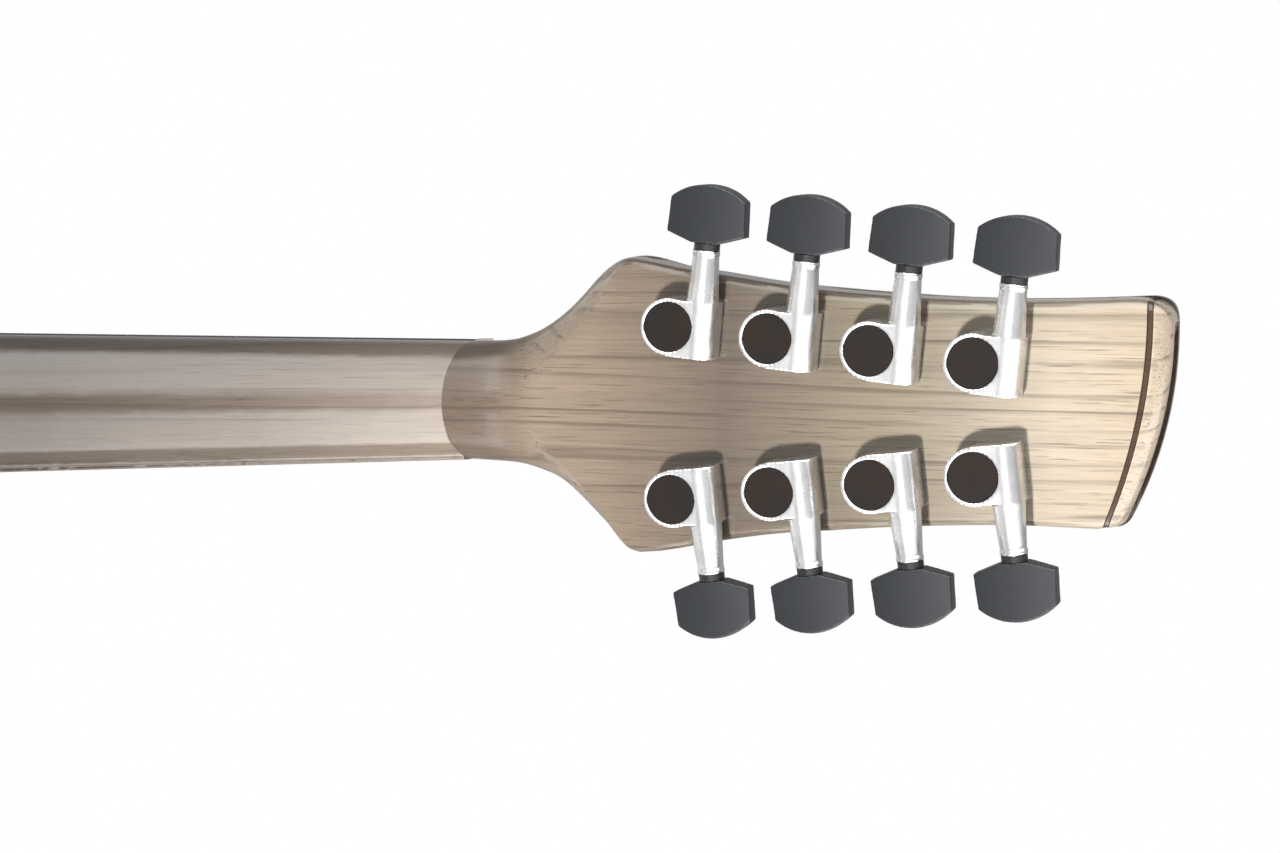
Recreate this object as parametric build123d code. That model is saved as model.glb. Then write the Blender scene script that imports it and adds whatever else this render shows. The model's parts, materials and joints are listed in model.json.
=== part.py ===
from build123d import *
import math
import os

# Flat-backed eight-string bouzouki.  Millimetres.
# +Z points up the neck, -Y out of the soundboard and +X to the treble side.
# The origin is where the nut's front face meets the underside of the fingerboard, on the centre line.

# Playing length
SCALE = 650.0
FRETS = 21
BODY_JOIN = -360.0
FINGERBOARD_END = -462.0
FINGERBOARD_THICKNESS = 6.0

# Neck
NUT_HALF = 16.8
HALF_TAPER = 0.022
NECK_DEPTH_NUT = 15.0
NECK_DEPTH_HEEL = 17.0
NECK_SIDE_FLAT = 1.2
NUT_THICKNESS = 4.5

# Head
HEAD_TILT = 14.0
HEAD_THICKNESS = 14.5
VENEER = 2.5
EDGE_BEVEL = 2.0

# Machine heads
POST_FIRST = 66.97
POST_PITCH = 27.61
POST_SIDE = 23.4
POST_STEP_IN = 2.85
WORM_OFFSET = 7.9
WORM_HEIGHT = 5.3
WHEEL_TEETH = 14
WHEEL_PITCH_R = 5.7
WORM_TIP_R = 2.7
WORM_ROOT_R = 1.6
WORM_LEAD = 2 * math.pi * WHEEL_PITCH_R / WHEEL_TEETH
WORM_TURNS = 4
POST_R = 3.0
RUNNING = 0.05
HOUSING_R = 7.75
HOUSING_TOP = 9.6
BARREL_R = 4.4
BLOCK_INNER = -8.0
BLOCK_OUTER = 7.5
TUBE_END = 21.3
TUBE_END_R = 3.4
COLLAR_END = 23.1
BUTTON_START = 23.2
CAVITY_R = 6.3
CAVITY_FLOOR = 1.6
COVER_R = 6.75
COVER_SEAT = 8.4
COVER_THICKNESS = 0.9

# Body
BODY_FACE = 4.0
BODY_BACK = 84.0
LOWER_CENTRE = -610.0
LOWER_R = 180.0
UPPER_CENTRE = -438.0
UPPER_R = 78.0
FLANK_R = 420.0
TOP_THICKNESS = 2.8
BACK_THICKNESS = 3.0
SIDE_THICKNESS = 2.4
BINDING_THICKNESS = 1.6
BINDING_HEIGHT = 6.0
LINING_WIDTH = 6.0
LINING_HEIGHT = 11.0
SOUNDHOLE_R = 46.0
SOUNDHOLE_Z = -514.0
BRIDGE_Z = -650.0

# Strings, from the outer treble string to the outer bass string
STRING_RADII = (0.14, 0.14, 0.20, 0.20, 0.42, 0.19, 0.56, 0.28)
COURSE_AT_NUT = (12.9, 4.3)
COURSE_AT_BRIDGE = (19.5, 6.5)
PAIR_AT_NUT = 1.1
PAIR_AT_BRIDGE = 1.3
STRING_REST_NUT = -7.45
STRING_LEAVES_NUT = 0.6
NUT_TOP = -8.3
STRING_REST_SADDLE = -11.55
TAIL_BAR_Z = -737.0
TAIL_STRING_Y = -4.6

# Smaller details
PIN_X = -3.0
PIN_Y = 9.0
PIN_R = 1.0
ROD_DEPTH = 7.4
ROD_R = 2.5
ROD_THREAD_START = 8.0
ROD_THREAD_END = 12.0
ROD_BOTTOM = -345.0
ROD_NUT_START = 8.6
ROD_NUT_END = 15.6
ROD_NUT_R = 3.2
POCKET_HALF = 4.4
POCKET_START = 7.0
POCKET_END = 27.0
BOLT_DEPTHS = (28.0, 58.0)
BOLT_R = 3.0
TANG_HALF = 0.25
TANG_DEPTH = 1.8
CROWN_R = 1.1
MARKER_R = 2.6
MARKER_DEPTH = 1.4
COVER_SCREWS = ((-7.0, 12.0), (7.0, 12.0), (0.0, 34.5))
COVER_PLATE = 1.8
SHAFT_R = 2.0
FLAT_DEPTH = 0.5
SHAFT_END = 32.0
BUTTON_PROFILE = ((23.2, 3.6), (25.6, 10.85), (34.9, 10.4), (38.8, 0.0))
BUTTON_EDGE = 2.5
BUTTON_MIDDLE = 3.4
WINDING_TOP = -22.3
WINDING_R = POST_R + 0.55
WINDING_MIDDLE = WINDING_TOP - 1.7
NECK_BLOCK_HALF = 32.0
NECK_BLOCK_LENGTH = 46.0
TAIL_BLOCK_HALF = 28.0
TAIL_BLOCK_LENGTH = 18.0
INSIDE_TOP = BODY_FACE + TOP_THICKNESS
INSIDE_BACK = BODY_BACK - BACK_THICKNESS
BODY_END = LOWER_CENTRE - LOWER_R
PIN_DEPTH = 58.0

# Heel: depth of each section, its half width and how far it reaches up the neck
HEEL_SECTIONS = ((10.0, 24.0, 52.0), (26.0, 17.0, 32.0), (55.0, 13.0, 21.0), (81.5, 11.5, 18.0))

TILT = math.radians(HEAD_TILT)
HEAD = Plane(origin=(0, 0, 0), x_dir=(1, 0, 0), z_dir=(0, -math.cos(TILT), math.sin(TILT)))
FRONT = Plane(origin=(0, 0, 0), x_dir=(1, 0, 0), z_dir=(0, -1, 0))
SIDE = Plane(origin=(0, 0, 0), x_dir=(0, 0, 1), z_dir=(-1, 0, 0))


def save(node, shape):
    """Write one node, a solid or a group of separate solids, to its own STEP file."""
    solids = shape.solids()
    part = Compound(label=node, children=[Solid(s.wrapped) for s in solids])
    export_step(part, "parts/" + node + ".step")


def box(x0, x1, y0, y1, z0, z1):
    """Box between two corners."""
    return Pos((x0 + x1) / 2, (y0 + y1) / 2, (z0 + z1) / 2) * Box(x1 - x0, y1 - y0, z1 - z0)


def rod(start, end, radius, end_radius=None):
    """Round bar, or cone when end_radius is given, from one point to another."""
    a = Vector(*start)
    b = Vector(*end)
    run = b - a
    place = Plane(origin=a, z_dir=run)
    if end_radius is None:
        bar = Cylinder(radius, run.length, align=(Align.CENTER, Align.CENTER, Align.MIN))
    else:
        bar = Cone(radius, end_radius, run.length, align=(Align.CENTER, Align.CENTER, Align.MIN))
    return place * bar


def slab(sketch, y0, y1):
    """Extrude a sketch drawn in (x, z) from depth y0 to depth y1."""
    return extrude(FRONT.offset(-y0) * sketch, y1 - y0, dir=(0, 1, 0))


def head_slab(sketch, w0, w1):
    """Extrude a sketch in the head's own (x, along) plane between two depths behind its front."""
    return extrude(HEAD.offset(-w0) * sketch, w1 - w0, dir=(0, math.cos(TILT), -math.sin(TILT)))


def head_point(x, along, behind):
    """Point of the head: sideways, along it from the nut, and behind its front face."""
    y = along * math.sin(TILT) + behind * math.cos(TILT)
    z = along * math.cos(TILT) - behind * math.sin(TILT)
    return (x, y, z)


def neck_half(z):
    """Half width of the fingerboard and neck at height z."""
    return NUT_HALF - HALF_TAPER * z


# ---------------------------------------------------------------- neck and head

def d_section(plane, left, right, side, depth):
    """Neck section: flat front, short upright sides and a half-elliptic back, in a plane's (x, depth)."""
    steps = 9
    points = []
    for i in range(steps):
        angle = math.pi * i / (steps - 1)
        half = right if angle <= math.pi / 2 else left
        points.append((half * math.cos(angle), side + (depth - side) * math.sin(angle)))
    edges = [Line((-left, 0), (right, 0)), Line((right, 0), (right, side))]
    edges += [Spline(points, tangents=[(0, 1), (0, -1)]), Line((-left, side), (-left, 0))]
    return plane * make_face(Curve() + edges)


def neck_section(z, depth):
    """Neck section square to the neck axis."""
    plane = Plane(origin=(0, 0, z), x_dir=(1, 0, 0), z_dir=(0, 0, 1))
    return d_section(plane, neck_half(z), neck_half(z), NECK_SIDE_FLAT, depth)


def head_section(along, bass, treble, depth):
    """Neck section square to the head axis."""
    centre = head_point(0, along, 0)
    plane = Plane(origin=centre, x_dir=(1, 0, 0), z_dir=(0, math.sin(TILT), math.cos(TILT)))
    return d_section(plane, bass, treble, 2.0, depth)


def head_outline():
    """Outline of the head: waisted sides, round shoulders and a tip that slants towards the bass side."""
    treble = Spline([(17.0, 6.0), (19.7, 20.7), (25.8, 30.2), (31.0, 35.6)], tangents=[(0, 1), (1, 1)])
    treble_diagonal = Line((31.0, 35.6), (36.4, 41.0))
    treble_shoulder = Spline([(36.4, 41.0), (41.2, 51.5), (39.7, 61.0)], tangents=[(1, 1), (-0.3, 1)])
    treble_side = Spline([(39.7, 61.0), (32.9, 106.0), (30.2, 150.0), (31.0, 192.0)],
                         tangents=[(-0.3, 1), (0.05, 1)])
    treble_corner = Spline([(31.0, 192.0), (29.3, 197.8), (23.5, 199.3)], tangents=[(0.05, 1), (-1, 0)])
    tip = Spline([(23.5, 199.3), (0.0, 197.0), (-22.8, 189.6), (-27.4, 187.4)],
                 tangents=[(-1, 0), (-1, -0.5)])
    bass_corner = Spline([(-27.4, 187.4), (-29.6, 184.6), (-29.0, 178.0)],
                         tangents=[(-1, -0.5), (0.05, -1)])
    bass_side = Spline([(-29.0, 178.0), (-29.3, 145.0), (-32.3, 106.0), (-39.4, 61.0)],
                       tangents=[(0.03, -1), (-0.25, -1)])
    bass_shoulder = Spline([(-39.4, 61.0), (-40.0, 52.5), (-36.4, 45.6)], tangents=[(-0.25, -1), (1, -1)])
    bass_diagonal = Line((-36.4, 45.6), (-29.6, 38.4))
    bass = Spline([(-29.6, 38.4), (-23.6, 31.0), (-19.0, 20.7), (-17.0, 6.0)], tangents=[(1, -1), (0, -1)])
    base = Line((-17.0, 6.0), (17.0, 6.0))
    edges = [treble, treble_diagonal, treble_shoulder, treble_side, treble_corner, tip, bass_corner]
    edges += [bass_side, bass_shoulder, bass_diagonal, bass, base]
    return make_face(Curve() + edges)


def post_places():
    """Post centre of each machine head on the head, with the side sign: name -> (side, x, along)."""
    places = {}
    for row, side in (("treble", 1), ("bass", -1)):
        for i in range(4):
            name = row + "_" + str(i + 1)
            places[name] = (side, side * (POST_SIDE - POST_STEP_IN * i), POST_FIRST + POST_PITCH * i)
    return places


def tuner_plane(side, x, along):
    """Frame of one machine head: x outwards along its shaft, z out of the head's back, at the back face."""
    lean = math.atan2(POST_STEP_IN, POST_PITCH)
    outward = Vector(*head_point(side * math.cos(lean), math.sin(lean), 0))
    back = Vector(*head_point(0, 0, 1))
    return Plane(origin=head_point(x, along, HEAD_THICKNESS), x_dir=outward, z_dir=back)


def post_holes():
    """Through holes for the posts and blind holes for the housings' locating pins."""
    holes = []
    for side, x, along in post_places().values():
        plane = tuner_plane(side, x, along)
        holes.append(plane * (Pos(0, 0, -10) * Cylinder(5.0, 24)))
        holes.append(plane * (Pos(PIN_X, -side * PIN_Y, -2.5) * Cylinder(PIN_R + RUNNING, 5)))
    return holes


def truss_pocket():
    """Pocket in the head that gives a key access to the truss rod nut."""
    return box(-POCKET_HALF, POCKET_HALF, -4.0, ROD_DEPTH + POCKET_HALF, POCKET_START, POCKET_END)


def truss_channel():
    """Slot under the fingerboard that holds the truss rod."""
    half = ROD_R + RUNNING
    return box(-half, half, -1.0, ROD_DEPTH + half, ROD_BOTTOM - 1.0, POCKET_START + 0.5)


def scarf_halves():
    """The two half-spaces either side of the glued joint that slopes across the neck behind the nut."""
    slope = math.atan2(7.6, 14.0)
    plane = Plane(origin=(0, 2.0, 0.0), x_dir=(1, 0, 0), z_dir=(0, math.sin(slope), math.cos(slope)))
    upper = plane * (Pos(0, 0, 150) * Box(200, 400, 300))
    lower = plane * (Pos(0, 0, -300) * Box(200, 900, 600))
    return lower, upper


def heel():
    """Heel that carries the neck down the end of the body, as a loft of D shapes that shrink to the cap."""
    faces = []
    for depth, half, reach in HEEL_SECTIONS:
        base = BODY_JOIN - 10.0
        top = BODY_JOIN + reach
        edges = [Line((-half, base), (half, base)), Line((half, base), (half, BODY_JOIN))]
        edges += [Spline([(half, BODY_JOIN), (0, top), (-half, BODY_JOIN)], tangents=[(0, 1), (0, -1)])]
        edges += [Line((-half, BODY_JOIN), (-half, base))]
        faces.append(FRONT.offset(-depth) * make_face(Curve() + edges))
    return loft(faces)


def body_envelope():
    """Whole outer volume of the body, used to shape what butts against it."""
    return slab(body_outline(0), BODY_FACE, BODY_BACK)


def neck_shaft():
    """Neck shaft with its heel and the riser that carries the fingerboard over the body."""
    shaft = loft([neck_section(BODY_JOIN - 10, NECK_DEPTH_HEEL), neck_section(6, NECK_DEPTH_NUT)], ruled=True)
    lower, _ = scarf_halves()
    shaft = (shaft & lower) - body_envelope()
    shaft += heel() - body_envelope()
    for cutter in [truss_channel()] + bolt_holes():
        shaft -= cutter
    start = BODY_JOIN - 9
    end = FINGERBOARD_END
    riser = Polygon((-neck_half(start), start), (-neck_half(end), end), (neck_half(end), end),
                    (neck_half(start), start), align=None)
    return shaft + slab(riser, 0, BODY_FACE)


def headstock():
    """Headstock: a stem that flares from the neck's section into the flat, bevelled head."""
    sections = [head_section(-14, 17.0, 17.0, 17.6), head_section(-4, 16.9, 16.9, 16.6),
                head_section(9, 16.9, 17.0, 15.6), head_section(20, 18.6, 19.5, 14.7),
                head_section(30, 22.7, 25.7, 16.8), head_section(41, 32.0, 36.4, 21.0)]
    stem = loft(sections)
    stem -= head_slab(Pos(0, 45) * Rectangle(160, 50.4), HEAD_THICKNESS, HEAD_THICKNESS + 40)
    stem -= head_slab(Pos(0, 110 + veneer_start()) * Rectangle(160, 220), -30, VENEER)
    stem -= box(-60, 60, -40, 0, -60, 60)
    _, upper = scarf_halves()
    stem &= upper

    board = head_slab(head_outline() - Pos(0, 20) * Rectangle(160, 41), VENEER, HEAD_THICKNESS)
    back_face = board.faces().sort_by(Axis((0, 0, 0), head_point(0, 0, 1)))[-1]
    rim_edges = [e for e in back_face.edges() if e.center().dot(Vector(*head_point(0, 1, 0))) > 42]
    board = chamfer(rim_edges, EDGE_BEVEL)

    whole = stem + board
    for cutter in post_holes() + [truss_pocket(), truss_channel()]:
        whole -= cutter
    for x, along in COVER_SCREWS:
        whole -= screw(x, along, 0.0)
    return whole


def bolt_holes():
    """Clearance holes for the neck bolts through block, sides and heel."""
    return [rod((0, depth, BODY_JOIN - 60), (0, depth, BODY_JOIN + 14), BOLT_R) for depth in BOLT_DEPTHS]


def veneer_start():
    """Where the veneer starts along the head: at the back of the nut."""
    return NUT_THICKNESS / math.cos(TILT)


def headplate():
    """Front veneer of the head, from the nut to the tip."""
    stem = Pos(0, 15) * Rectangle(33.6, 30)
    plate = head_slab(head_outline() + stem, 0, VENEER)
    plate &= head_slab(Pos(0, 110 + veneer_start()) * Rectangle(160, 220), 0, VENEER)
    for cutter in post_holes() + [truss_pocket(), truss_channel()]:
        plate -= cutter
    for x, along in COVER_SCREWS:
        plate -= screw(x, along, 0.0)
    return plate


def nut():
    """Bone nut with one sloping slot for each string."""
    block = box(-NUT_HALF, NUT_HALF, NUT_TOP, 0, 0, NUT_THICKNESS)
    block = fillet(block.edges().filter_by(Axis.X).group_by(Axis.Y)[0], 0.6)
    reach = NUT_THICKNESS + 1.0
    floor = Polygon((-1, STRING_REST_NUT), (STRING_LEAVES_NUT, STRING_REST_NUT), (reach, -6.15),
                    (reach, -10), (-1, -10), align=None)
    above_floor = extrude(SIDE * floor, NUT_HALF, both=True)
    for radius, (_, _, over, end) in string_routes():
        lean = (end[0] - over[0]) / (end[2] - over[2])
        line = [(over[0], -1.0), (over[0], over[2]), (over[0] + lean * (reach - over[2]), reach)]
        half = radius + RUNNING
        sides = [(x + half, z) for x, z in line] + [(x - half, z) for x, z in reversed(line)]
        block -= slab(Polygon(*sides, align=None), NUT_TOP - 1, STRING_REST_NUT + 2) & above_floor
    return block


def fret_places():
    """Height of every fret below the nut."""
    return [-SCALE * (1 - 2 ** (-n / 12)) for n in range(1, FRETS + 1)]


def marker_places():
    """Centres of the position dots, one between frets and two at the octave."""
    frets = [0.0] + fret_places()
    places = [(0.0, (frets[n] + frets[n - 1]) / 2) for n in (5, 7, 10, 15, 17, 19)]
    octave = (frets[12] + frets[11]) / 2
    return places + [(-9.0, octave), (9.0, octave)]


def fingerboard():
    """Tapered fingerboard with a slot for each fret and a pocket for each dot."""
    outline = Polygon((-neck_half(0), 0), (-neck_half(FINGERBOARD_END), FINGERBOARD_END),
                      (neck_half(FINGERBOARD_END), FINGERBOARD_END), (neck_half(0), 0), align=None)
    board = slab(outline, -FINGERBOARD_THICKNESS, 0)
    for z in fret_places():
        board -= box(-40, 40, -7, -FINGERBOARD_THICKNESS + TANG_DEPTH, z - TANG_HALF, z + TANG_HALF)
    for x, z in marker_places():
        board -= rod((x, -7, z), (x, -FINGERBOARD_THICKNESS + MARKER_DEPTH, z), MARKER_R)
    return board


def frets():
    """Fret wires, each a half-round crown over a tang."""
    wires = []
    for z in fret_places():
        half = neck_half(z) - 0.3
        face = -FINGERBOARD_THICKNESS
        crown = rod((-half, face, z), (half, face, z), CROWN_R) & box(-40, 40, -20, face, z - 5, z + 5)
        wires.append(crown + box(-half, half, face, face + TANG_DEPTH, z - TANG_HALF, z + TANG_HALF))
    return Compound(children=wires)


def fret_markers():
    """Pearl dots let into the fingerboard."""
    face = -FINGERBOARD_THICKNESS
    return Compound(children=[rod((x, face, z), (x, face + MARKER_DEPTH, z), MARKER_R)
                              for x, z in marker_places()])


def truss_rod():
    """Steel truss rod with a square anchor at the heel end and a thinner threaded end under the cover."""
    bar = rod((0, ROD_DEPTH, ROD_BOTTOM), (0, ROD_DEPTH, ROD_THREAD_START), ROD_R)
    bar += rod((0, ROD_DEPTH, ROD_THREAD_START), (0, ROD_DEPTH, ROD_THREAD_END), ROD_R - 0.5)
    bar += box(-ROD_R, ROD_R, ROD_DEPTH - ROD_R, ROD_DEPTH + ROD_R, ROD_BOTTOM, ROD_BOTTOM + 10)
    return bar


def truss_rod_nut():
    """Brass nut with a hexagon socket that tightens the rod."""
    body = rod((0, ROD_DEPTH, ROD_NUT_START), (0, ROD_DEPTH, ROD_NUT_END), ROD_NUT_R)
    body -= rod((0, ROD_DEPTH, ROD_THREAD_START), (0, ROD_DEPTH, ROD_THREAD_END + 0.3), ROD_R - 0.45)
    socket = Plane(origin=(0, ROD_DEPTH, ROD_THREAD_END), z_dir=(0, 0, 1)) * RegularPolygon(2.2, 6)
    return body - extrude(socket, 6)


def screw(x, along, proud):
    """Small countersunk wood screw driven into the front of the head."""
    plane = Plane(origin=head_point(x, along, 0), z_dir=head_point(0, 0, 1))
    shank = Cylinder(0.9, 7, align=(Align.CENTER, Align.CENTER, Align.MIN))
    return plane * (Pos(0, 0, -proud) * (shank + Pos(0, 0, 0.6 + proud / 2) * Cylinder(0.9, 1)))


def truss_rod_cover():
    """Bell-shaped plate over the truss rod pocket."""
    right = Spline([(11, 6.5), (9.5, 20), (4.5, 33), (0, 38)], tangents=[(0, 1), (-1, 0)])
    left = Spline([(0, 38), (-4.5, 33), (-9.5, 20), (-11, 6.5)], tangents=[(-1, 0), (0, -1)])
    bell = make_face(Curve() + [Line((-11, 6.5), (11, 6.5)), right, left])
    plate = head_slab(bell, -COVER_PLATE, 0)
    for x, along in COVER_SCREWS:
        plate -= screw_head(x, along)
        plate -= screw(x, along, COVER_PLATE)
    return plate


def screw_head(x, along):
    """Domed, countersunk screw head in the cover's front face."""
    plane = Plane(origin=head_point(x, along, -COVER_PLATE), z_dir=head_point(0, 0, -1))
    cone = Pos(0, 0, -0.9) * Cone(0.9, 1.9, 0.9, align=(Align.CENTER, Align.CENTER, Align.MIN))
    return plane * (cone + Cylinder(1.9, 0.3, align=(Align.CENTER, Align.CENTER, Align.MIN)))


def cover_screws():
    """The three cover screws, each with a cross slot."""
    screws = []
    for x, along in COVER_SCREWS:
        plane = Plane(origin=head_point(x, along, -COVER_PLATE), z_dir=head_point(0, 0, -1))
        slots = plane * (Pos(0, 0, 0.3) * (Box(2.4, 0.4, 0.7) + Box(0.4, 2.4, 0.7)))
        screws.append(screw_head(x, along) + screw(x, along, COVER_PLATE) - slots)
    return Compound(children=screws)


# ---------------------------------------------------------------- machine heads

def housing(hand):
    """Die-cast housing: a cup round the post, a block round the worm and the tube to the button."""
    cup = Cylinder(HOUSING_R, HOUSING_TOP, align=(Align.CENTER, Align.CENTER, Align.MIN))
    axis_y = hand * WORM_OFFSET
    far = hand * (WORM_OFFSET + BARREL_R)
    web = box(BLOCK_INNER, BLOCK_OUTER, min(0, axis_y), max(0, axis_y), 0, HOUSING_TOP)
    foot = box(BLOCK_INNER, BLOCK_OUTER, min(0, far), max(0, far), 0, WORM_HEIGHT)
    barrel = rod((BLOCK_INNER, axis_y, WORM_HEIGHT), (BLOCK_OUTER, axis_y, WORM_HEIGHT), BARREL_R)
    tube = rod((BLOCK_OUTER, axis_y, WORM_HEIGHT), (TUBE_END, axis_y, WORM_HEIGHT), BARREL_R, TUBE_END_R)
    bead = rod((TUBE_END - 1.2, axis_y, WORM_HEIGHT), (TUBE_END, axis_y, WORM_HEIGHT), TUBE_END_R + 0.3)
    boss = Cylinder(4.9, 6, align=(Align.CENTER, Align.CENTER, Align.MAX))
    pin = Pos(PIN_X, hand * PIN_Y, 0) * Cylinder(PIN_R, 4, align=(Align.CENTER, Align.CENTER, Align.MAX))
    body = cup + web + foot + barrel + tube + bead + boss + pin
    body -= Pos(0, 0, CAVITY_FLOOR) * Cylinder(CAVITY_R, 20, align=(Align.CENTER, Align.CENTER, Align.MIN))
    body -= Pos(0, 0, COVER_SEAT) * Cylinder(COVER_R, 20, align=(Align.CENTER, Align.CENTER, Align.MIN))
    body -= Cylinder(POST_R + RUNNING, 20)
    body -= rod((-6.3, axis_y, WORM_HEIGHT), (TUBE_END + 1, axis_y, WORM_HEIGHT), WORM_TIP_R + RUNNING)
    body -= rod((-7.0, axis_y, WORM_HEIGHT), (0, axis_y, WORM_HEIGHT), 1.5 + RUNNING)
    return body


def cover_disc():
    """Plain disc that closes the housing."""
    disc = rod((0, 0, COVER_SEAT), (0, 0, COVER_SEAT + COVER_THICKNESS), COVER_R)
    return chamfer(disc.edges().group_by(Axis.Z)[-1], 0.2)


def collar(hand):
    """Black bearing collar in the end of the housing's tube."""
    y = hand * WORM_OFFSET
    body = rod((12.0, y, WORM_HEIGHT), (TUBE_END, y, WORM_HEIGHT), WORM_TIP_R + RUNNING)
    body += rod((TUBE_END, y, WORM_HEIGHT), (COLLAR_END, y, WORM_HEIGHT), TUBE_END_R + 0.1)
    return body - rod((0, y, WORM_HEIGHT), (30, y, WORM_HEIGHT), SHAFT_R + RUNNING)


def worm():
    """Worm and its shaft along +Z, with the thread crossing +X at the worm's middle."""
    half = WORM_LEAD * WORM_TURNS / 2
    path = Pos(0, 0, -half) * Helix(WORM_LEAD, 2 * half, WORM_ROOT_R)
    root = 0.55
    tip = 0.30
    sunk = WORM_ROOT_R - 0.15
    section = Plane(origin=path @ 0, x_dir=(1, 0, 0), z_dir=path % 0)
    tooth = Polygon((sunk - WORM_ROOT_R, -root), (WORM_TIP_R - WORM_ROOT_R, -tip),
                    (WORM_TIP_R - WORM_ROOT_R, tip), (sunk - WORM_ROOT_R, root), align=None)
    thread = sweep(section * tooth, path=path, is_frenet=True)
    core = rod((0, 0, -6.2), (0, 0, 5.8), WORM_ROOT_R)
    journal = rod((0, 0, -6.9), (0, 0, -6.2), 1.5)
    shoulder = rod((0, 0, 5.8), (0, 0, 11.9), 2.5)
    shaft = rod((0, 0, 11.9), (0, 0, SHAFT_END), SHAFT_R)
    flat = box(SHAFT_R - FLAT_DEPTH, 5, -5, 5, BUTTON_START, SHAFT_END + 1)
    return core + thread + journal + shoulder + (shaft - flat)


def worm_place(hand):
    """Frame of the worm inside its machine head: z along the shaft, x facing the wheel."""
    return Plane(origin=(0, hand * WORM_OFFSET, WORM_HEIGHT), x_dir=(0, -hand, 0), z_dir=(1, 0, 0))


def button():
    """Moulded button along +Z: a shield with an arched end, thicker in the middle than at its edges."""
    (z0, w0), (z1, w1), (z2, w2), (z3, _) = BUTTON_PROFILE
    right = [Line((-w0, z0), (w0, z0)), Line((w0, z0), (w1, z1)), Line((w1, z1), (w2, z2))]
    arch = ThreePointArc((w2, z2), (0, z3), (-w2, z2))
    left = [Line((-w2, z2), (-w1, z1)), Line((-w1, z1), (-w0, z0))]
    outline = make_face(Curve() + right + [arch] + left)
    front = Plane(origin=(0, 0, 0), x_dir=(1, 0, 0), z_dir=(0, -1, 0))
    blank = extrude(front * outline, BUTTON_MIDDLE, both=True)
    edge = BUTTON_EDGE - 0.2
    lens_front = ThreePointArc((-12, edge), (0, BUTTON_MIDDLE), (12, edge))
    lens_back = ThreePointArc((12, -edge), (0, -BUTTON_MIDDLE), (-12, -edge))
    lens = make_face(Curve() + [lens_front, Line((12, edge), (12, -edge)), lens_back,
                                Line((-12, -edge), (-12, edge))])
    body = blank & Pos(0, 0, 20) * extrude(lens, 25)
    bore = rod((0, 0, 20), (0, 0, SHAFT_END), SHAFT_R)
    return body - (bore - box(SHAFT_R - FLAT_DEPTH, 5, -5, 5, BUTTON_START, SHAFT_END + 1))


def wheel(hand):
    """Worm wheel with straight teeth and a tooth gap facing the worm."""
    step = 2 * math.pi / WHEEL_TEETH
    start = hand * math.pi / 2 + step / 2
    points = []
    for i in range(WHEEL_TEETH):
        centre = start + i * step
        for radius, half in ((5.05, 0.60), (6.15, 0.24)):
            points.append((radius, centre - half / radius))
        for radius, half in ((6.15, 0.24), (5.05, 0.60)):
            points.append((radius, centre + half / radius))
    outline = Polygon(*[(r * math.cos(a), r * math.sin(a)) for r, a in points], align=None)
    return Pos(0, 0, WORM_HEIGHT - 1.5) * extrude(outline, 3.0)


def string_post(hand):
    """String post with its worm wheel, the cross hole for the string and the turns wound on it."""
    post = rod((0, 0, -31.5), (0, 0, CAVITY_FLOOR + 2.4), POST_R)
    post = chamfer(post.edges().group_by(Axis.Z)[0], 0.7)
    post += rod((0, 0, CAVITY_FLOOR + 0.1), (0, 0, WORM_HEIGHT - 1.5), 4.2)
    post += wheel(hand)
    post += rod((0, 0, WORM_HEIGHT), (0, 0, COVER_SEAT - 0.2), 2.4)
    for turn in range(5):
        post += Pos(0, 0, WINDING_TOP - 0.85 * turn) * Torus(POST_R + 0.1, 0.45)
    return post - rod((-5, 0, -28.6), (5, 0, -28.6), 0.8)


def bushing():
    """Threaded bushing with a hexagon head on the front of the head."""
    sleeve = rod((0, 0, -HEAD_THICKNESS - 0.8), (0, 0, -6.0), 4.9)
    hexagon = Pos(0, 0, -HEAD_THICKNESS - 3.0) * extrude(RegularPolygon(5.8, 6), 2.2)
    lip = rod((0, 0, -HEAD_THICKNESS - 3.5), (0, 0, -HEAD_THICKNESS - 3.0), 4.6)
    return sleeve + hexagon + lip - Cylinder(POST_R + RUNNING, 80)


def washer():
    """Plain washer under the bushing."""
    ring = rod((0, 0, -HEAD_THICKNESS - 0.8), (0, 0, -HEAD_THICKNESS), 7.0)
    return ring - Cylinder(5.0, 80)


# ---------------------------------------------------------------- body

def body_outline(inset):
    """Teardrop outline in (x, z), moved in by inset: four arcs that meet smoothly."""
    to_low = FLANK_R - LOWER_R
    to_up = FLANK_R - UPPER_R
    apart = UPPER_CENTRE - LOWER_CENTRE
    along = (to_low ** 2 - to_up ** 2 + apart ** 2) / (2 * apart)
    across = math.sqrt(to_low ** 2 - along ** 2)
    flank_z = LOWER_CENTRE + along
    low = math.degrees(math.atan2(-along, across))
    up = math.degrees(math.atan2(UPPER_CENTRE - flank_z, across))
    arcs = [CenterArc((0, UPPER_CENTRE), UPPER_R - inset, up, 180 - 2 * up),
            CenterArc((across, flank_z), FLANK_R - inset, 180 - up, up - low),
            CenterArc((0, LOWER_CENTRE), LOWER_R - inset, 180 - low, 180 + 2 * low),
            CenterArc((-across, flank_z), FLANK_R - inset, low, up - low)]
    return make_face(Curve() + arcs)


def rim(outer, inner, y0, y1):
    """Band that follows the body outline between two insets and two depths."""
    return slab(body_outline(outer) - body_outline(inner), y0, y1)


def soundboard():
    """Spruce top with the soundhole and the rosette's channel."""
    top = slab(body_outline(BINDING_THICKNESS), BODY_FACE, BODY_FACE + TOP_THICKNESS)
    top -= rod((0, -5, SOUNDHOLE_Z), (0, 20, SOUNDHOLE_Z), SOUNDHOLE_R)
    return top - rosette()


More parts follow.
